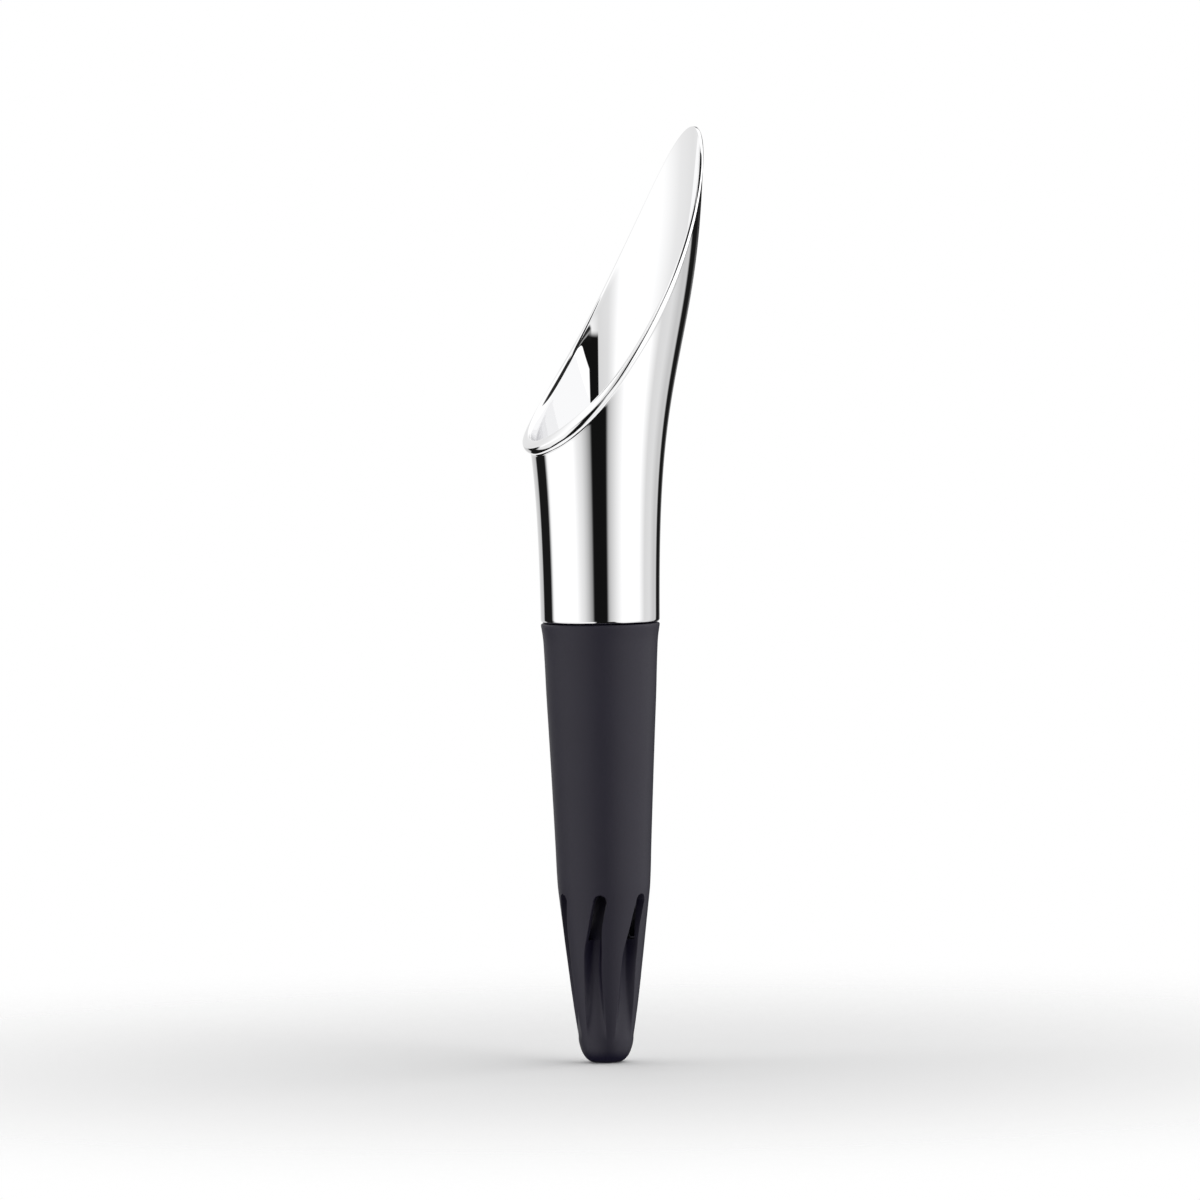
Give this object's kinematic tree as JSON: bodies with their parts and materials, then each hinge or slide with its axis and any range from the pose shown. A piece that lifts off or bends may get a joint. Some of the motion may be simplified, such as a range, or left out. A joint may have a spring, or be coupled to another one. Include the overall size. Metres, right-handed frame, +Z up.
{
  "type": "bottle pour spout",
  "caption": "Polished steel pouring horn with an oblique rolled lip, on a tapered rubber bottle plug with a fluted, windowed nose.",
  "frame": {"origin": "on the axis, in the middle of the plug's seat band, which seals in the bottle's neck", "axes": "+Z up the axis from the plug to the horn; +Y towards the pouring tip, the tall back wall of the horn; the mouth opens towards -Y"},
  "size_m": [0.0295, 0.0317, 0.1597],
  "materials": {
    "polished_steel": "mirror-polished stainless steel",
    "turned_steel": "fine turned",
    "core_plastic": "matte moulded nylon",
    "plug_rubber": "satin moulded elastomer, charcoal",
    "seal_rubber": "smooth"
  },
  "bodies": {
    "plug": {"plug": "plug_rubber", "core_tube": "core_plastic"},
    "seal_rings": {"upper_o_ring": "seal_rubber", "lower_o_ring": "seal_rubber"},
    "spout": {"spout": "polished_steel", "spout_spigot": "turned_steel"}
  },
  "joints": [
    {"name": "spout_swivel", "type": "hinge", "parent": "plug", "child": "seal_rings", "pos_m": [0, 0, 0], "axis": [0, 0, 1], "continuous": true},
    {"name": "spout_pull", "type": "slide", "parent": "seal_rings", "child": "spout", "axis": [0, 0, 1], "range_m": [0, 0.045]}
  ]
}
